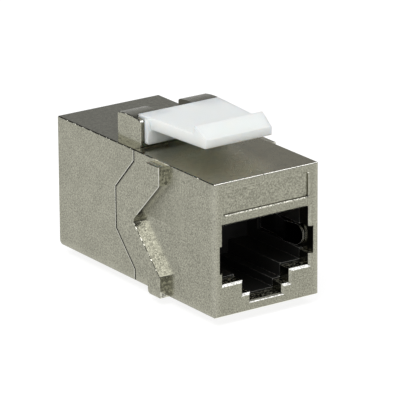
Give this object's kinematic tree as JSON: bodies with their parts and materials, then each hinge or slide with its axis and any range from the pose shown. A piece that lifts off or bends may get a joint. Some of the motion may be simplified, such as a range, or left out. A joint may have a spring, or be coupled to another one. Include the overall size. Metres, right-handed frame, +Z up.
{
  "type": "keystone coupler",
  "caption": "Shielded inline keystone coupler: two cast metal halves around back-to-back modular jacks, with chevron stop bands and a sprung plastic latch on top.",
  "frame": {"origin": "middle of the front face, where the plug goes in", "axes": "+X to the right of the front face, +Y from the front face to the rear face, +Z up towards the latch"},
  "size_m": [0.0164, 0.0323, 0.0217],
  "materials": {
    "nickel_casting": "satin nickel plate on a zinc casting",
    "white_plastic": "white moulding",
    "black_plastic": "black moulding",
    "gold_contact": "gold flash",
    "spring_metal": "bright spring strip",
    "board_laminate": "solder mask"
  },
  "bodies": {
    "housing": {"front_housing": "nickel_casting", "rear_housing": "nickel_casting", "front_insert": "black_plastic", "rear_insert": "black_plastic", "circuit_board": "board_laminate", "front_contact_1": "gold_contact", "front_contact_2": "gold_contact", "front_contact_3": "gold_contact", "front_contact_4": "gold_contact", "front_contact_5": "gold_contact", "front_contact_6": "gold_contact", "front_contact_7": "gold_contact", "front_contact_8": "gold_contact", "rear_contact_1": "gold_contact", "rear_contact_2": "gold_contact", "rear_contact_3": "gold_contact", "rear_contact_4": "gold_contact", "rear_contact_5": "gold_contact", "rear_contact_6": "gold_contact", "rear_contact_7": "gold_contact", "rear_contact_8": "gold_contact", "front_left_ground_spring": "spring_metal", "front_right_ground_spring": "spring_metal", "rear_left_ground_spring": "spring_metal", "rear_right_ground_spring": "spring_metal"},
    "latch": {"latch": "white_plastic"}
  },
  "joints": [
    {"name": "latch_press", "type": "hinge", "parent": "housing", "child": "latch", "pos_m": [0, 0.01768, 0.0093], "axis": [1, 0, 0], "range_deg": [0, 8], "stiffness_Nm_per_rad": 0.15}
  ]
}
